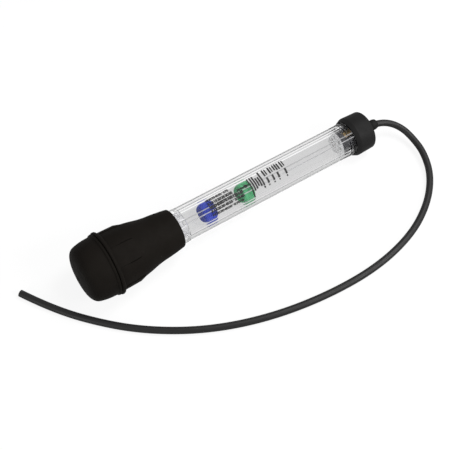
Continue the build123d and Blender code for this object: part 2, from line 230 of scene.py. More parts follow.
class TesterStage(bpy.types.PropertyGroup):
    """Camera, lamps and floor."""

    camera_place: bpy.props.FloatVectorProperty(
        name="Camera Place", description="Where the camera stands", subtype="TRANSLATION",
        default=(-0.27347, -0.39371, 0.72034), precision=5,
    )
    camera_tilt: angle("Camera Tilt", "Tilt of the camera up from straight down", 32.8)
    camera_turn: angle("Camera Turn", "Turn of the camera about the vertical", -33.59)
    lens: amount("Lens", "Focal length of the camera", 76.0, 500.0, "CAMERA")
    floor_tint: tint("Floor", "Colour of the floor", (0.94, 0.94, 0.94))
    floor_glow: amount("Floor Glow", "Share of plain white in the floor, to the camera", 0.87)
    # Grey that gloss sees all round, and that the barrel shows near the tester as a painted shadow
    # on the floor
    seen_through: tint("Seen Through", "Surroundings in gloss and the barrel", (0.62, 0.62, 0.62))
    world_tint: tint("World", "Light of the room on the object", (0.82, 0.82, 0.83))
    world_strength: amount("World Strength", "Strength of the room's light", 0.55, 10.0)
    lamp_power: amount("Lamps", "Power of a soft box whose share is one", 9.0, 100.0, "POWER")


# Materials


def shader(name):
    """A new node material: its tree and its principled shader."""
    material = bpy.data.materials.new(name)
    material.use_nodes = True
    tree = material.node_tree
    return material, tree, tree.nodes["Principled BSDF"]


def feed(tree, node, sockets):
    """Link a node's sockets to other nodes' outputs, or set them to plain values."""
    for name, term in sockets.items():
        if isinstance(term, bpy.types.NodeSocket):
            tree.links.new(term, node.inputs[name])
        else:
            node.inputs[name].default_value = term


def add_node(tree, kind, sockets=None, **settings):
    """A new shader node with its settings, whose sockets are fed by name or number."""
    node = tree.nodes.new("ShaderNode" + kind)
    for name, value in settings.items():
        setattr(node, name, value)
    feed(tree, node, sockets or {})
    return node


def object_noise(tree, scale, detail=4.0, stretch=(1, 1, 1), place=None):
    """Noise on the piece's own coordinates, in metres times the scale, or on another place."""
    place = place or add_node(tree, "TexCoord").outputs["Object"]
    stretched = add_node(tree, "Mapping", {"Vector": place, "Scale": stretch}).outputs["Vector"]
    noise = add_node(tree, "TexNoise", {"Vector": stretched, "Scale": scale, "Detail": detail})
    return noise.outputs["Fac"]


def spread(tree, source, low, high, start=0.3, end=0.7):
    """Spread a factor between two values."""
    reach = {"From Min": start, "From Max": end, "To Min": low, "To Max": high}
    return add_node(tree, "MapRange", {"Value": source, **reach}).outputs["Result"]


def two_tone(tree, source, dark, light):
    """Blend two colours by a factor."""
    ramp = add_node(tree, "ValToRGB", {"Fac": source})
    for element, place, colour in zip(ramp.color_ramp.elements, (0.3, 0.7), (dark, light)):
        element.position = place
        element.color = (*colour, 1)
    return ramp.outputs["Color"]


def add_bump(tree, principled, source, strength, distance):
    """Raise the surface a little by a factor."""
    bump = add_node(tree, "Bump", {"Height": source, "Strength": strength, "Distance": distance})
    feed(tree, principled, {"Normal": bump.outputs["Normal"]})


def shade(colour, share):
    """A colour made lighter or darker by a share."""
    return tuple(min(1.0, part * share) for part in colour)


def moulded(name, colour, roughness, grain, specular=0.5, mottle=0.12, bump=0.15):
    """Moulded plastic or rubber: fine grain, faint mottling and uneven gloss."""
    material, tree, principled = shader(name)
    dark, light = shade(colour, 1 - mottle), shade(colour, 1 + mottle)
    feed(tree, principled, {
        "Specular IOR Level": specular,
        "Base Color": two_tone(tree, object_noise(tree, 60.0, 3.0), dark, light),
        "Roughness": spread(tree, object_noise(tree, 180.0), roughness - 0.06, roughness + 0.06),
    })
    add_bump(tree, principled, object_noise(tree, grain, 2.0), bump, 0.0002)
    return material


def calculate(tree, operation, *terms):
    """One step of arithmetic on values of nodes and plain numbers."""
    return add_node(tree, "Math", dict(enumerate(terms)), operation=operation).outputs["Value"]


def blend_colours(tree, factor, first, second):
    """Blend two colours, plain or of nodes, by a factor."""
    blend = add_node(tree, "Mix", {"Factor": factor, "A": first, "B": second}, data_type="RGBA")
    return blend.outputs["Result"]


def blend_shaders(tree, factor, first, second):
    """A node that mixes two shader nodes by a factor."""
    return add_node(tree, "MixShader", {0: factor, 1: first.outputs[0], 2: second.outputs[0]})


def tester_axes(tree):
    """A point's place along, across and up from the tester's axis, and its distance off it."""
    turned = tester_place().inverted()
    place = add_node(tree, "Mapping", {
        "Vector": add_node(tree, "TexCoord").outputs["Object"],
        "Location": turned.to_translation(), "Rotation": turned.to_euler(),
    }).outputs["Vector"]
    parts = add_node(tree, "SeparateXYZ", {"Vector": place}).outputs
    around = add_node(tree, "VectorMath", {0: place, 1: (0, 1, 1)}, operation="MULTIPLY")
    off = add_node(tree, "VectorMath", {0: around.outputs["Vector"]}, operation="LENGTH")
    return parts["X"], parts["Y"], parts["Z"], off.outputs["Value"]


def front_edges(tree, sizes):
    """Mask of the painted highlights: one on both rounded edges of the barrel's front corner facet
    and nought elsewhere.
    """
    _, across, up, _ = tester_axes(tree)
    aside = calculate(tree, "ABSOLUTE", across)
    edge = calculate(tree, "COMPARE", aside, sizes.corner_bevel / 2, PAINTED_HIGHLIGHT_REACH * MM)
    return calculate(tree, "MULTIPLY", edge, calculate(tree, "GREATER_THAN", up, BARREL_SKIN * MM))


def clear_plastic(name, colours, sizes):
    """Clear plastic that refracts and lets lamp light through, with painted highlights on its front
    edges.
    """
    material, tree, principled = shader(name)
    feed(tree, principled, {
        "Base Color": (*colours.barrel, 1), "Roughness": 0.02,
        "IOR": colours.barrel_index, "Transmission Weight": 1.0,
    })
    # Painted highlights: diffuse white on the front corner facet's rounded edges
    white = add_node(tree, "BsdfDiffuse", {"Color": (*colours.edge_white, 1)})
    share = calculate(tree, "MULTIPLY", front_edges(tree, sizes), colours.edge_share)
    highlighted_plastic = blend_shaders(tree, share, principled, white)
    clear = add_node(tree, "BsdfTransparent", {"Color": (*colours.barrel_shadow, 1)})
    shadow = add_node(tree, "LightPath").outputs["Is Shadow Ray"]
    whole = blend_shaders(tree, shadow, highlighted_plastic, clear)
    feed(tree, tree.nodes["Material Output"], {"Surface": whole.outputs[0]})
    return material


def metal(name, colour, roughness, stretch, metallic=1.0):
    """Turned metal: fine lines round the axis and faint tarnish."""
    material, tree, principled = shader(name)
    dark, light = shade(colour, 0.8), shade(colour, 1.1)
    lines = object_noise(tree, 900.0, 2.0, stretch)
    feed(tree, principled, {
        "Metallic": metallic,
        "Base Color": two_tone(tree, object_noise(tree, 140.0, 3.0), dark, light),
        "Roughness": spread(tree, lines, roughness - 0.08, roughness + 0.08),
    })
    add_bump(tree, principled, lines, 0.1, 0.0001)
    return material


def translucent_plastic(name, colour):
    """Milky plastic that passes some light."""
    material, tree, principled = shader(name)
    tone = two_tone(tree, object_noise(tree, 90.0), shade(colour, 0.95), shade(colour, 1.05))
    feed(tree, principled, {
        "Base Color": tone, "Roughness": 0.25, "IOR": 1.49, "Transmission Weight": 0.9,
    })
    add_bump(tree, principled, object_noise(tree, 500.0), 0.05, 0.0002)
    return material


def surroundings(tree, stage, lit, plain, share=1.0, far=None):
    """A lit shader that camera, gloss and glass see as plain white or grey; where far is low, glass
    sees grey as a painted shadow.
    """
    path = add_node(tree, "LightPath").outputs
    camera, through = path["Is Camera Ray"], path["Is Transmission Ray"]
    shown = calculate(tree, "MULTIPLY", camera, share)
    for ray in (path["Is Glossy Ray"], through):
        shown = calculate(tree, "MAXIMUM", shown, ray)
    # Painted shadow: glass rays see grey where far is low
    bright = calculate(tree, "MULTIPLY", through, far) if far else through
    bright = calculate(tree, "MAXIMUM", camera, bright)
    tone = blend_colours(tree, bright, (*stage.seen_through, 1), (1, 1, 1, 1))
    feed(tree, plain, {"Color": tone})
    return blend_shaders(tree, shown, lit, plain)


# Shapes


def tester_place(turn=LYING_TURN, drop=0.0):
    """From a piece's own axes, X along the tester and Z at a turn from upright, to the frame."""
    columns = Matrix((AXIS, SIDE, UPRIGHT)).transposed().to_4x4()
    sideways = Matrix.Rotation(radians(turn), 4, "X")
    return Matrix.Translation(NOSE - UPRIGHT * drop * MM) @ columns @ sideways


def tangent_arc(start, end, direction, steps):
    """Points after start to end, on the circle that leaves start in a direction."""
    start, end = Vector(start), Vector(end)
    direction = Vector(direction).normalized()
    normal = Vector((-direction.y, direction.x))
    chord = end - start
    off = chord.dot(normal)
    centre = start + normal * (chord.length_squared / (2 * off))
    swing = 2 * asin(max(-1.0, min(1.0, off / chord.length)))
    return [
        centre + Matrix.Rotation(swing * number / steps, 2) @ (start - centre)
        for number in range(1, steps + 1)
    ]


def off_axis(co):
    """Distance of a point from the X axis."""
    return hypot(co.y, co.z)


def set_radius(vertex, radius):
    """Move a vertex straight in or out to a distance from the X axis."""
    factor = radius / off_axis(vertex.co)
    vertex.co.y *= factor
    vertex.co.z *= factor


def only(kind, geometry):
    """The parts of one kind among some geometry."""
    return [part for part in geometry if isinstance(part, kind)]


def turned_mesh(bm, profile, sectors, closed=False):
    """Turn a chain of (station, radius) points about the X axis, sector by sector."""
    vertices = [bm.verts.new((station * MM, 0, radius * MM)) for station, radius in profile]
    pairs = list(zip(vertices, vertices[1:]))
    if closed:
        pairs.append((vertices[-1], vertices[0]))
    last = vertices + [bm.edges.new(pair) for pair in pairs]
    for turn, steps in sectors:
        last = bmesh.ops.spin(
            bm, geom=last, cent=(0, 0, 0), axis=(1, 0, 0), angle=radians(turn), steps=steps
        )["geom_last"]
    bmesh.ops.remove_doubles(bm, verts=bm.verts, dist=2e-6)
    bmesh.ops.recalc_face_normals(bm, faces=bm.faces)


def even_sectors(count, arc, arc_steps, gap_steps):
    """Sectors of a full turn, with an arc centred on each of a count of even turns."""
    half, gap = (arc / 2, arc_steps // 2), (360 / count - arc, gap_steps)
    return [half] + [gap, (arc, arc_steps)] * (count - 1) + [gap, half]


def cut_mesh(bm, place, normal):
    """Cut through a mesh along a plane, and keep both sides."""
    geometry = bm.verts[:] + bm.edges[:] + bm.faces[:]
    bmesh.ops.bisect_plane(bm, geom=geometry, plane_co=place, plane_no=normal)


def mesh_of(curve):
    """The mesh of a curve or a text, which goes once it is read."""
    holder = bpy.data.objects.new(curve.name, curve)
    bpy.context.scene.collection.objects.link(holder)
    bpy.context.view_layer.update()
    mesh = bpy.data.meshes.new_from_object(holder)
    bpy.data.objects.remove(holder)
    bpy.data.curves.remove(curve)
    return mesh


def soften_edges(bm, edges, width, segments=2):
    """Bevel some edges."""
    bmesh.ops.bevel(
        bm, geom=list(edges), offset=width * MM, segments=segments, profile=0.5,
        affect="EDGES", material=-1, clamp_overlap=True,
    )


def ring_edges(bm, rings, reach=2e-5):
    """Edges that run round the axis at given (station, radius) corners."""
    def lies_on(co, station, radius):
        return abs(co.x - station * MM) < reach and abs(off_axis(co) - radius * MM) < reach

    return [
        edge for edge in bm.edges
        if any(all(lies_on(vertex.co, *ring) for vertex in edge.verts) for ring in rings)
    ]


def finish_piece(bm, name, material, body, place, sharp=30.0):
    """Make a bmesh an object of the tester: shaded, placed in its mesh, on its body and slot."""
    for face in bm.faces:
        face.smooth = True
    for edge in bm.edges:
        edge.smooth = not edge.is_manifold or edge.calc_face_angle(0.0) < radians(sharp)
    bmesh.ops.transform(bm, matrix=place, verts=bm.verts)
    mesh = bpy.data.meshes.new(name)
    bm.to_mesh(mesh)
    bm.free()
    mesh.materials.append(material)
    piece = bpy.data.objects.new(name, mesh)
    bpy.context.scene.collection.objects.link(piece)
    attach(piece, body)
    return piece


def angle_of(co):
    """Turn of a point about the X axis from the Z axis, in degrees, as the spin goes."""
    return degrees(Vector((co.z, -co.y)).angle_signed(Vector((1, 0)), 0.0))


def flowing(knots, steps):
    """A chain of points that runs smoothly through its knots."""
    points = [Vector(knot) for knot in knots]
    ends = [points[0] * 2 - points[1]] + points + [points[-1] * 2 - points[-2]]
    chain = [points[0]]
    for before, start, end, after in zip(ends, ends[1:], ends[2:], ends[3:]):
        for number in range(1, steps + 1):
            share = number / steps
            chain.append(
                start
                + (end - before) * share / 2
                + (before * 2 - start * 5 + end * 4 - after) * share**2 / 2
                + (start * 3 - before - end * 3 + after) * share**3 / 2
            )
    return chain


class TESTER_OT_bulb(bpy.types.Operator):
    """Squeeze bulb with its bead, slot and four grip pads"""

    bl_idname = "tester.bulb"
    bl_label = "Add Squeeze Bulb"

    def execute(self, context):
        sizes, colours = context.scene.tester_sizes, context.scene.tester_colours
        lip = tangent_arc(BELLY[-1], (BULB_END, BELLY[-1][1] - 1.1), (1, 0), 4)
        outer = flowing(CROWN, 4) + flowing(BEAD, 2) + flowing(BELLY, 3)[1:] + lip
        neck = 15.15
        inner = flowing(HOLLOW, 2) + [Vector((NECK_STEP, neck)), Vector((BULB_END, neck))]
        bm = bmesh.new()
        pad_arc = 43.0
        turned_mesh(bm, outer + list(reversed(inner)), even_sectors(4, pad_arc, 14, 14))
        for station in (PAD_SLANT_START, SLIT_END - SLIT_FADE, SLIT_END, PAD_END):
            cut_mesh(bm, (station * MM, 0, 0), (1, 0, 0))
        self.raise_pads(bm, sizes, pad_arc)
        self.press_dimple(bm)
        rubber = moulded("bulb_rubber", colours.bulb, 0.62, 2600.0, 0.03, 0.10, 0.25)
        piece = finish_piece(bm, "bulb_shell", rubber, "bulb", tester_place(), 32)
        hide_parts("squeeze_bulb")
        return {"FINISHED"}

    def slit_share(self, station):
        """How deep the slits are at a station: they deepen from the bead and end before the pad."""
        if station < SLIT_DEEP:
            return max(0.0, (station - SLIT_START) / (SLIT_DEEP - SLIT_START))
        return max(0.0, min(1.0, (SLIT_END - station) / SLIT_FADE))

    def raise_pads(self, bm, sizes, arc):
        """A slit along both sides of each pad, then the pad, level with the bulb at its far end."""
        reach = 1.0
        for quarter in range(4):
            faces = []
            for face in bm.faces:
                co = face.calc_center_median()
                across = (angle_of(co) - 90 * quarter + 180) % 360 - 180
                if BEAD_END * MM < co.x < PAD_END * MM and abs(across) < arc / 2:
                    if face.normal.dot(Vector((0, co.y, co.z))) > 0:
                        faces.append(face)
            rims = bmesh.ops.inset_region(
                bm, faces=faces, thickness=reach * MM, depth=0,
                use_even_offset=True, use_boundary=True,
            )
            inside = [f for f in faces if f.is_valid]
            for vertex in {v for f in inside for v in f.verts}:
                if any(f in rims["faces"] for f in vertex.link_faces):
                    depth = sizes.slit_depth * self.slit_share(vertex.co.x / MM)
                    set_radius(vertex, off_axis(vertex.co) - depth)
            raised = bmesh.ops.extrude_face_region(bm, geom=inside)["geom"]
            bmesh.ops.delete(bm, geom=inside, context="FACES_ONLY")
            slant = PAD_END - reach - PAD_SLANT_START
            for vertex in only(bmesh.types.BMVert, raised):
                station = vertex.co.x / MM
                fall = (station - BEAD_SLOT) / (PAD_SLANT_START - BEAD_SLOT) * PAD_TOP_FALL
                if station > PAD_SLANT_START:
                    fall = PAD_TOP_FALL + PAD_SLANT_DROP * (station - PAD_SLANT_START) / slant
                if station < BEAD_END + 1.5 * reach:
                    vertex.co.x = (BEAD_END - 0.6) * MM
                set_radius(vertex, sizes.pad_top - fall * MM)
            top = set(only(bmesh.types.BMFace, raised))
            sides = set()
            for edge in {edge for face in top for edge in face.edges}:
                a, b = (v.co for v in edge.verts)
                if sum(face in top for face in edge.link_faces) == 1:
                    if abs(a.x - b.x) > edge.calc_length() / 2:
                        sides.add(edge)
            soften_edges(bm, sides, 0.3, 2)

    def press_dimple(self, bm):
        """Small moulding mark in the middle of the crown."""
        radius, depth, skin = 1.2, 0.9, 0.5
        for vertex in bm.verts:
            if vertex.co.x < skin * MM and off_axis(vertex.co) < radius * MM:
                vertex.co.x += depth * MM


class TESTER_OT_barrel(bpy.types.Operator):
    """Clear barrel: eight flats with narrow corner facets, collars and spigots"""

    bl_idname = "tester.barrel"
    bl_label = "Add Clear Barrel"

    def execute(self, context):
        sizes, colours = context.scene.tester_sizes, context.scene.tester_colours
        bore = sizes.bore_radius / MM
        # The facets are turned at their blank's radius and then levelled
        neck, collar, spigot, blank, slant = 15.0, 15.9, 15.6, 16.0, 0.8
        profile = [
            (NECK_START, bore), (NECK_START, neck - slant), (NECK_START + slant, neck),
            (COLLAR_START, neck), (COLLAR_START, collar), (COLLAR_STOP, collar),
            (COLLAR_STOP, neck), (FACET_START, neck), (FACET_START, blank), (FACET_END, blank),
            (FACET_END, neck), (CAP_COLLAR, neck), (CAP_COLLAR, collar), (CAP_START, collar),
            (CAP_START, spigot), (BARREL_END - slant, spigot), (BARREL_END, spigot - slant),
            (BARREL_END, bore),
        ]
        outline = barrel_outline(sizes)
        corner_arc = degrees(sizes.corner_bevel / outline["corner"])
        bm = bmesh.new()
        turned_mesh(bm, profile, even_sectors(8, corner_arc, 4, 14), closed=True)
        for vertex in bm.verts:
            if abs(off_axis(vertex.co) - blank * MM) < 1e-6:
                level_to_facet(vertex, outline)
        corners = []
        for edge in bm.edges:
            a, b = (v.co for v in edge.verts)
            if abs(a.x - b.x) > 0.1 and off_axis(a) > BARREL_SKIN * MM:
                if edge.calc_face_angle(0) > radians(15):
                    corners.append(edge)
        soften_edges(bm, corners, sizes.corner_round / MM, 6)
        rims = [(station, collar) for station in (COLLAR_START, COLLAR_STOP, CAP_COLLAR)]
        soften_edges(bm, ring_edges(bm, rims), 0.4, 2)
        clear = clear_plastic("barrel_plastic", colours, sizes)
        piece = finish_piece(bm, "barrel_body", clear, "tester", tester_place(), 5)
        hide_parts("barrel")
        # The soft boxes would break up into glints in the bore, so they leave the barrel out
        receivers = bpy.data.collections["lamp_receivers"]
        receivers.objects.link(piece)
        receivers.collection_objects[0].light_linking.link_state = "EXCLUDE"
        return {"FINISHED"}


def barrel_outline(sizes):
    """Distances of the flats and of the corner facets from the axis, in metres."""
    flat = sizes.across_flats / 2
    corner = flat / cos(pi / 8) - sizes.corner_bevel / 2 * tan(pi / 8)
    return {"flat": flat, "corner": corner, "half": sizes.corner_bevel / 2}


def level_to_facet(vertex, outline):
    """Move a point of the round blank onto the barrel's flat or corner facet."""
    turn = (angle_of(vertex.co) + 22.5) % 45 - 22.5
    edge_turn = degrees((Vector((outline["corner"], outline["half"]))).angle(Vector((1, 0))))
    if abs(turn) <= edge_turn + 0.3:
        set_radius(vertex, outline["corner"] / cos(radians(turn)))
    else:
        set_radius(vertex, outline["flat"] / cos(radians(22.5 - abs(turn))))


class TESTER_OT_stop(bpy.types.Operator):
    """Castellated float stop in the bulb end of the barrel"""

    bl_idname = "tester.stop"
    bl_label = "Add Float Stop"

    def execute(self, context):
        colours = context.scene.tester_colours
        outside, inside, tooth, slot = 11.95, 9.65, 3.0, 3.4
        flange, flange_start, flange_end = 13.8, 77.1, 78.25
        slot_angle = 2 * degrees(asin(slot / (outside + inside)))
        profile = [
            (flange_start, inside), (flange_start, flange), (flange_end, flange),
            (flange_end, outside), (STOP_END - tooth, outside), (STOP_END - tooth, inside),
        ]
        bm = bmesh.new()
        turned_mesh(bm, profile, even_sectors(8, slot_angle, 4, 6), closed=True)
        crown = []
        for face in bm.faces:
            co = face.calc_center_median()
            turn = abs((angle_of(co) + 22.5) % 45 - 22.5)
            if abs(co.x - (STOP_END - tooth) * MM) < 1e-6 and turn > slot_angle / 2:
                crown.append(face)
        raised = bmesh.ops.extrude_face_region(bm, geom=crown)["geom"]
        bmesh.ops.delete(bm, geom=crown, context="FACES_ONLY")
        bmesh.ops.translate(bm, vec=(tooth * MM, 0, 0), verts=only(bmesh.types.BMVert, raised))
        rim = [e for e in bm.edges if all(abs(v.co.x - STOP_END * MM) < 1e-6 for v in e.verts)]
        rim = [e for e in rim if e.calc_face_angle(0) > radians(40)]
        soften_edges(bm, rim, 0.3, 2)
        milky = translucent_plastic("stop_plastic", colours.stop)
        place = tester_place()
        piece = finish_piece(bm, "stop_sleeve", milky, "tester", place, 35)
        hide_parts("float_stop")
        return {"FINISHED"}


class TESTER_OT_floats(bpy.types.Operator):
    """Blue and green floats, each with a shell, a lid and its ballast"""

    bl_idname = "tester.floats"
    bl_label = "Add Floats"

    def execute(self, context):
        sizes, colours = context.scene.tester_sizes, context.scene.tester_colours
        self.add_float(sizes, "blue", BLUE_FLOAT, colours.blue_float)
        self.add_float(sizes, "green", GREEN_FLOAT, colours.green_float)
        steel = metal("ballast_steel", colours.steel, 0.3, (1, 1, 1))
        for colour in ("blue", "green"):
            paint_node(f"{colour}_float_ballast", steel)
        return {"FINISHED"}

    def add_float(self, sizes, colour, station, shade_of_plastic):
        """Shell and lid of one float, a little under the bore's axis."""
        radius, half = sizes.float_radius / MM, sizes.float_length / MM / 2
        chamfer, rounding, wall, groove, gap, overlap = 2.3, 1.1, 1.3, 0.12, 0.05, 1.6
        inner = radius - wall
        start, end = station - half, station + half
        seam = end - 3.2
        plastic = moulded(f"{colour}_plastic", shade_of_plastic, 0.55, 900.0, 0.12, 0.06, 0.05)
        shell_rim = [(start, radius - chamfer), (start + chamfer, radius)]
        shell = [
            (start, 0), *shell_rim, (seam - groove, radius), (seam, radius - groove), (seam, inner),
            (start + wall, inner), (start + wall, 0),
        ]
        lid_rim = [(end - chamfer, radius), (end, radius - chamfer)]
        lid = [
            (seam - overlap, 0), (seam - overlap, inner - gap), (seam + gap, inner - gap),
            (seam + gap, radius - groove), (seam + gap + groove, radius), *lid_rim, (end, 0),
        ]
        for part, profile, rim in (("shell", shell, shell_rim), ("lid", lid, lid_rim)):
            bm = bmesh.new()
            turned_mesh(bm, profile, [(90, 24)] * 4)
            soften_edges(bm, ring_edges(bm, rim), rounding, 4)
            piece = finish_piece(
                bm, f"{colour}_{part}", plastic, f"{colour}_float",
                tester_place(0, FLOAT_DROP),
            )
            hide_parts(f"{colour}_float_{part}")


def paint_node(node, material):
    """Give a CAD node a material."""
    mesh = frame["nodes"][node].data
    mesh.materials.clear()
    mesh.materials.append(material)


def smooth_copy(node, name, material):
    """A merged and shaded copy of a CAD node that stands for it."""
    bm = bmesh.new()
    bm.from_mesh(frame["nodes"][node].data)
    bmesh.ops.remove_doubles(bm, verts=bm.verts, dist=1e-6)
    bmesh.ops.dissolve_limit(bm, angle_limit=radians(0.5), verts=bm.verts, edges=bm.edges)
    piece = finish_piece(bm, name, material, "tester", Matrix.Identity(4))
    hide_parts(node)


class TESTER_OT_inlet(bpy.types.Operator):
    """Inlet cage, brass fitting and seals in the cap end of the barrel"""

    bl_idname = "tester.inlet"
    bl_label = "Add Inlet Pieces"

    def execute(self, context):
        colours = context.scene.tester_colours
        cage = moulded("cage_plastic", colours.cage, 0.42, 1500.0, 0.2, 0.15, 0.2)
        # Painted light on the cage's face and hole walls
        self.pale_end(cage, colours.cage_end)
        smooth_copy("inlet_cage", "cage_cup", cage)
        brass = metal("fitting_brass", colours.brass, 0.45, (1, 0.05, 0.05), 0.5)
        smooth_copy("hose_fitting", "fitting_body", brass)
        rubber = moulded("seal_rubber", colours.seal, 0.7, 1800.0, 0.3)
        smooth_copy("fitting_washer", "washer_ring", rubber)
        smooth_copy("cap_gasket", "gasket_ring", rubber)
        return {"FINISHED"}

    def pale_end(self, material, pale):
        """Paint light on the black cage: its face towards the floats and the walls of its holes are
        made pale.
        """
        tree = material.node_tree
        principled = tree.nodes["Principled BSDF"]
        tone = principled.inputs["Base Color"].links[0].from_socket
        along, _, _, off = tester_axes(tree)
        near = calculate(tree, "LESS_THAN", along, CAGE_FACE_END * MM)
        end = calculate(tree, "MULTIPLY", near, calculate(tree, "LESS_THAN", off, CAGE_RADIUS * MM))
        feed(tree, principled, {"Base Color": blend_colours(tree, end, tone, (*pale, 1))})


class TESTER_OT_cap(bpy.types.Operator):
    """End cap with its spout, and the collar on the spout's mouth"""

    bl_idname = "tester.cap"
    bl_label = "Add End Cap"

    def execute(self, context):
        colours = context.scene.tester_colours
        face, seat, end = GASKET_END, 308.15, CAP_FACE_STATION
        bore, socket, shank, spout, nose = 3.05, 15.65, 3.225, 4.4, 3.85
        mouth, rim, shoulder = (CAP_START, 17.1), (CAP_RIM, 18.9), (end - 1.0, 18.3)
        profile = [
            (face, bore), (face, socket), (CAP_START, socket), mouth, rim, shoulder,
            *tangent_arc(shoulder, (end, 17.3), (1, 0), 5),
            (end, 5.2), (end + 0.5, 4.6), (end + 1.4, spout), (SPOUT_END, spout), (SPOUT_END, nose),
            (SPOUT_NOSE, nose), (SPOUT_NOSE, shank), (seat, shank), (seat, bore),
        ]
        bm = bmesh.new()
        turned_mesh(bm, profile, [(90, 28)] * 4, closed=True)
        soften_edges(bm, ring_edges(bm, [mouth, rim, (SPOUT_END, spout)]), 0.35, 3)
        black = moulded("cap_plastic", colours.cap, 0.55, 1700.0, 0.09, 0.12, 0.25)
        place = tester_place()
        piece = finish_piece(bm, "cap_body", black, "tester", place, 28)
        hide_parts("end_cap")
        seat, start = SPOUT_NOSE + 0.05, SPOUT_END + 0.05
        reach = COLLAR_END - start
        bulge = [
            (start + reach * step / 8, 4.3 + 0.75 * sin(pi * step / 8) ** 0.8)
            for step in range(9)
        ]
        profile = [
            *bulge, (COLLAR_END, 4.0), (COLLAR_END - 3.0, shank), (seat, shank), (seat, 3.9),
            (start, 3.9),
        ]
        bm = bmesh.new()
        turned_mesh(bm, profile, [(90, 16)] * 4, closed=True)
        piece = finish_piece(bm, "collar_ring", black, "tester", place, 28)
        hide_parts("hose_collar")
        return {"FINISHED"}


class TESTER_OT_hose(bpy.types.Operator):
    """Inlet hose on its free lie, with its open cut end"""

    bl_idname = "tester.hose"
    bl_label = "Add Hose"

    def execute(self, context):
        sizes, colours = context.scene.tester_sizes, context.scene.tester_colours
        middle = self.route_points()
        bm = bmesh.new()
        around = 24
        outside, inside = sizes.hose_diameter / 2, sizes.hose_bore / 2
        along = bm.verts.layers.float.new("along")
        around_layer = bm.verts.layers.float.new("around")
        uv = bm.loops.layers.uv.new("UVMap")
        loop = bmesh.ops.create_circle(bm, segments=around, radius=outside)["verts"]
        first = (middle[1] - middle[0]).normalized()
        turn = Vector((0, 0, 1)).rotation_difference(first)
        bmesh.ops.transform(
            bm, matrix=Matrix.Translation(middle[0]) @ turn.to_matrix().to_4x4(), verts=loop
        )
        for number, vertex in enumerate(loop):
            vertex[around_layer] = number / around
        run = 0.0
        edges = list(bm.edges)
        direction = first
        for before, here, after in zip(middle, middle[1:], middle[2:] + [None]):
            run += (here - before).length
            heading = (here - before if after is None else after - before).normalized()
            swing = direction.rotation_difference(heading)
            made = bmesh.ops.extrude_edge_only(bm, edges=edges)["geom"]
            ring = only(bmesh.types.BMVert, made)
            edges = [e for e in only(bmesh.types.BMEdge, made) if all(v in ring for v in e.verts)]
            bend = swing.to_matrix().to_4x4()
            move = Matrix.Translation(here) @ bend @ Matrix.Translation(-before)
            bmesh.ops.transform(bm, matrix=move, verts=ring)
            for vertex in ring:
                vertex[along] = run
            direction = heading
        bmesh.ops.recalc_face_normals(bm, faces=bm.faces)
        for face in bm.faces:
            turns = [l.vert[around_layer] for l in face.loops]
            wraps = max(turns) - min(turns) > 0.5
            for corner in face.loops:
                share = corner.vert[around_layer]
                share += 1 if wraps and share < 0.5 else 0
                corner[uv].uv = (share, corner.vert[along] / (2 * pi * outside))
        bmesh.ops.solidify(bm, geom=bm.faces[:], thickness=outside - inside)
        rubber = self.hose_rubber(colours)
        place = Matrix.Identity(4)
        piece = finish_piece(bm, "hose_tube", rubber, "tester", place, 50)
        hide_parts("inlet_hose")
        return {"FINISHED"}

    def route_points(self):
        """Points read from the smooth spline that the route controls."""
        curve = bpy.data.curves.new("hose_route", "CURVE")
        curve.dimensions = "3D"
        curve.resolution_u = 12
        spline = curve.splines.new("NURBS")
        spline.points.add(len(HOSE_ROUTE) - 1)
        for point, co in zip(spline.points, HOSE_ROUTE):
            point.co = (*co, 1)
        spline.order_u = 3
        spline.use_endpoint_u = True
        mesh = mesh_of(curve)
        points = [vertex.co.copy() for vertex in mesh.vertices]
        bpy.data.meshes.remove(mesh)
        return points

    def hose_rubber(self, colours):
        """Extruded rubber: soft streaks along the hose and a satin skin."""
        material, tree, principled = shader("hose_rubber")
        own_map = add_node(tree, "UVMap", uv_map="UVMap").outputs["UV"]
        streaks = object_noise(tree, 1.0, 4.0, (14, 0.5, 1), own_map)
        dark, light = shade(colours.hose, 0.85), shade(colours.hose, 1.2)
        feed(tree, principled, {
            "Specular IOR Level": 0.22,
            "Base Color": two_tone(tree, streaks, dark, light),
            "Roughness": spread(tree, object_noise(tree, 120.0), 0.4, 0.52),
        })
        add_bump(tree, principled, streaks, 0.12, 0.0003)
        return material


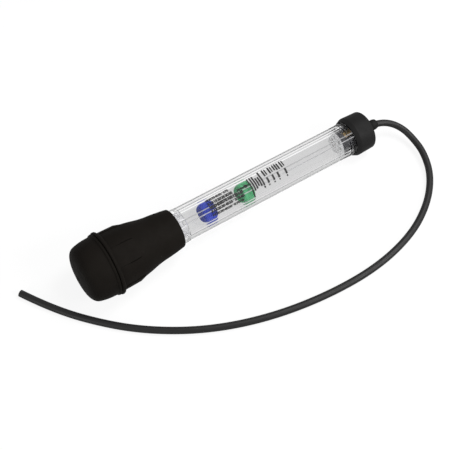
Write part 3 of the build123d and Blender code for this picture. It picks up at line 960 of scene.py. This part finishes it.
class TESTER_OT_print(bpy.types.Operator):
    """Plain scale printed on the two front flats of the barrel"""

    bl_idname = "tester.print"
    bl_label = "Add Scale Print"

    def execute(self, context):
        sizes, colours = context.scene.tester_sizes, context.scene.tester_colours
        bm = bmesh.new()
        # Lines across the flats, at (station, from, to, width)
        for bar in (
            (169.4, -9.3, 9.7, 1.3), (172.0, -9.3, 4.3, 1.6), (174.4, -9.3, 3.3, 1.6),
            (176.7, -6.5, 1.8, 1.6), (179.1, -6.3, 3.0, 1.7), (181.5, -10.3, 3.6, 1.7),
        ):
            self.add_bar(bm, *bar)
        # Rows of plain numbers along the barrel: box of stations and turns, boldness, numbers
        for box, bold, text in (
            ((126.0, 149.6, -9.6, -7.0), 0.07, "10 20 30 40 50 60 70"),
            ((126.0, 151.6, -6.0, -3.1), 0.08, "5 10 15 20 25 30 35"),
            ((126.0, 160.6, -2.6, 0.8), 0.10, "10 20 40 50 70 100 120 140"),
            ((126.0, 160.4, 1.2, 4.1), 0.08, "5 15 25 35 45 55 65 75 85"),
            ((126.0, 158.6, 5.0, 7.5), 0.07, "10 20 30 40 50 60 70 80"),
        ):
            self.add_text(bm, text, bold, box)
        # Arrow towards the lines
        self.add_bar(bm, 160.6, -4.7, -3.1, 9.0)
        self.add_triangle(bm, 164.2, 168.4, -3.9, 4.2)
        # Short graduations in two rows, at (station, from, to, width)
        for bar in (
            (186.1, -10.2, -3.6, 1.7), (188.4, -9.8, -4.0, 1.3), (192.1, -10.2, -3.6, 1.7),
            (194.4, -9.8, -4.2, 1.2), (197.1, -10.2, -4.4, 1.5), (199.4, -10.2, -3.6, 1.7),
            (201.7, -9.8, -3.4, 1.6), (204.8, -10.2, -3.6, 1.6), (207.1, -9.8, -4.2, 1.3),
        ):
            self.add_bar(bm, *bar)
        long_bars = (186.6, 192.4, 197.8, 205.9)
        for station in long_bars:
            self.add_bar(bm, station, -2.0, 3.4, 2.0)
        # Numbers beside the long bars, and one before them
        for number, station in enumerate((181.6, *long_bars), 1):
            self.add_text(bm, str(number), 0.07, (station - 0.8, station + 0.8, 4.1, 6.0), True)
        fold = barrel_outline(sizes)
        for side in (-1, 1):
            cut_mesh(bm, (0, side * fold["half"], 0), (0, 1, 0))
        for vertex in bm.verts:
            vertex.co = wrap_point(vertex.co, fold, sizes.print_height)
        bmesh.ops.recalc_face_normals(bm, faces=bm.faces)
        ink = moulded("scale_ink", colours.ink, 0.5, 2000.0, 0.3, 0.1, 0.05)
        finish_piece(bm, "scale_print", ink, "tester", tester_place(), 10)
        return {"FINISHED"}

    def add_bar(self, bm, station, low, high, width):
        """A bar before it is wrapped: X is the station and Y runs round the barrel."""
        made = bmesh.ops.create_grid(bm, x_segments=1, y_segments=1, size=0.5)["verts"]
        bmesh.ops.scale(bm, vec=(width * MM, (high - low) * MM, 1), verts=made)
        bmesh.ops.translate(bm, vec=(station * MM, (low + high) / 2 * MM, 0), verts=made)

    def add_triangle(self, bm, start, end, across, wide):
        """The arrow's head before it is wrapped."""
        corners = [(start, across - wide / 2), (end, across), (start, across + wide / 2)]
        bm.faces.new([bm.verts.new((x * MM, y * MM, 0)) for x, y in corners])

    def add_text(self, bm, text, bold, box, across=False):
        """Plain numbers that fill a box of stations and turns, along the barrel or across it."""
        font = bpy.data.curves.new("scale_number", "FONT")
        font.body = text
        font.offset = bold
        font.space_word = 0.35
        font.space_character = 0.95
        mesh = mesh_of(font)
        lows = [min(vertex.co[axis] for vertex in mesh.vertices) for axis in (0, 1)]
        highs = [max(vertex.co[axis] for vertex in mesh.vertices) for axis in (0, 1)]
        start, end, low, high = box
        for vertex in mesh.vertices:
            wide = (vertex.co.x - lows[0]) / (highs[0] - lows[0])
            tall = (vertex.co.y - lows[1]) / (highs[1] - lows[1])
            station, turn = start + wide * (end - start), high - tall * (high - low)
            if across:
                station, turn = end - tall * (end - start), high - wide * (high - low)
            vertex.co = (station * MM, turn * MM, 0)
        bm.from_mesh(mesh)
        bpy.data.meshes.remove(mesh)


def wrap_point(co, fold, height):
    """Take a flat point, X along and Y round the barrel from its front corner, onto the facets."""
    station, across = co.x, co.y
    half, corner = fold["half"], fold["corner"]
    side = 1 if across > 0 else -1
    past = abs(across) - half
    if past <= 0:
        return Vector((station, -across, corner + height))
    out = Vector((-side * sin(pi / 8), cos(pi / 8))) * height
    y = -side * (half + past * cos(pi / 8)) + out.x
    z = corner - past * sin(pi / 8) + out.y
    return Vector((station, y, z))


class TESTER_OT_stage(bpy.types.Operator):
    """Floor, room light, lamps and camera"""

    bl_idname = "tester.stage"
    bl_label = "Add Stage"

    def execute(self, context):
        scene, stage = context.scene, context.scene.tester_stage
        scene.view_settings.view_transform = "Standard"
        camera_data = bpy.data.cameras.new("view_camera")
        camera_data.lens = stage.lens
        camera_data.sensor_width = 36.0
        camera = bpy.data.objects.new("view_camera", camera_data)
        camera.location = stage.camera_place
        camera.rotation_euler = (stage.camera_tilt, 0, stage.camera_turn)
        scene.collection.objects.link(camera)
        scene.camera = camera
        bm = bmesh.new()
        bmesh.ops.create_grid(bm, x_segments=2, y_segments=2, size=3.0)
        mesh = bpy.data.meshes.new("floor")
        bm.to_mesh(mesh)
        bm.free()
        mesh.materials.append(self.floor_material(stage))
        floor = bpy.data.objects.new("floor", mesh)
        scene.collection.objects.link(floor)
        self.room_light(scene, stage)
        receivers = bpy.data.collections.new("lamp_receivers")
        for name, share, place, sides in LAMPS:
            lamp = self.add_lamp(scene, name, stage.lamp_power * share, place, sides)
            lamp.light_linking.receiver_collection = receivers
        return {"FINISHED"}

    def floor_material(self, stage):
        """Pale floor, nearly white to the camera, that keeps its soft shadows, and grey near the
        tester through the barrel as a painted shadow.
        """
        material, tree, principled = shader("floor_paper")
        dark, light = shade(stage.floor_tint, 0.99), shade(stage.floor_tint, 1.01)
        feed(tree, principled, {
            "Base Color": two_tone(tree, object_noise(tree, 3.0), dark, light),
            "Roughness": 0.9, "Specular IOR Level": 0.0,
        })
        # Painted shadow: through the barrel, the floor is grey near the tester and white farther
        # off
        place = add_node(tree, "TexCoord").outputs["Object"]
        beside = add_node(tree, "SeparateXYZ", {"Vector": place}).outputs["Y"]
        aside = calculate(tree, "ABSOLUTE", calculate(tree, "SUBTRACT", beside, PAINTED_SHADOW_LINE))
        far = spread(tree, aside, 0.0, 1.0, PAINTED_SHADOW_REACH, PAINTED_SHADOW_END)
        glow = add_node(tree, "Emission")
        floor = surroundings(tree, stage, principled, glow, stage.floor_glow, far)
        feed(tree, tree.nodes["Material Output"], {"Surface": floor.outputs[0]})
        return material

    def room_light(self, scene, stage):
        """Soft light from all round, with its own tone where the camera, gloss or glass sees it."""
        scene.world = bpy.data.worlds.new("room")
        scene.world.use_nodes = True
        tree = scene.world.node_tree
        soft = tree.nodes["Background"]
        feed(tree, soft, {"Color": (*stage.world_tint, 1), "Strength": stage.world_strength})
        room = surroundings(tree, stage, soft, add_node(tree, "Background"))
        feed(tree, tree.nodes["World Output"], {"Surface": room.outputs[0]})

    def add_lamp(self, scene, name, power, place, sides):
        """A soft box that faces the tester, with its long side along it."""
        lamp = bpy.data.lights.new(name, "AREA")
        lamp.shape = "RECTANGLE"
        lamp.size, lamp.size_y = sides
        lamp.energy = power
        holder = bpy.data.objects.new(name, lamp)
        holder.location = place
        facing = (LAMP_AIM - Vector(place)).normalized()
        long_side = (Vector((1, 0, 0)) - facing * facing.x).normalized()
        columns = Matrix((facing.cross(long_side), long_side, -facing)).transposed()
        holder.rotation_euler = columns.to_euler()
        scene.collection.objects.link(holder)
        return holder


class TESTER_PT_panel(bpy.types.Panel):
    """Lists the tester's pieces and their settings"""

    bl_idname = "TESTER_PT_panel"
    bl_label = "Fluid Tester"
    bl_space_type = "VIEW_3D"
    bl_region_type = "UI"
    bl_category = "Fluid Tester"

    def draw(self, context):
        column = self.layout.column(align=True)
        for operator in OPERATORS:
            column.operator(operator.bl_idname)
        for group in GROUPS:
            settings = getattr(context.scene, group)
            box = self.layout.box()
            for name in settings.__annotations__:
                box.prop(settings, name)


OPERATORS = (
    TESTER_OT_stage,
    TESTER_OT_hose,
    TESTER_OT_bulb,
    TESTER_OT_barrel,
    TESTER_OT_stop,
    TESTER_OT_floats,
    TESTER_OT_inlet,
    TESTER_OT_cap,
    TESTER_OT_print,
)
GROUPS = {"tester_sizes": TesterSizes, "tester_colours": TesterColours, "tester_stage": TesterStage}
CLASSES = (*GROUPS.values(), *OPERATORS, TESTER_PT_panel)


def register():
    for cls in CLASSES:
        bpy.utils.register_class(cls)
    for name, group in GROUPS.items():
        setattr(bpy.types.Scene, name, bpy.props.PointerProperty(type=group))


def unregister():
    for name in GROUPS:
        delattr(bpy.types.Scene, name)
    for cls in reversed(CLASSES):
        bpy.utils.unregister_class(cls)


def main():
    register()
    bpy.ops.tester.stage()
    bpy.ops.tester.hose()
    bpy.ops.tester.bulb()
    bpy.ops.tester.barrel()
    bpy.ops.tester.stop()
    bpy.ops.tester.floats()
    bpy.ops.tester.inlet()
    bpy.ops.tester.cap()
    bpy.ops.tester.print()


if __name__ == "__main__":
    main()
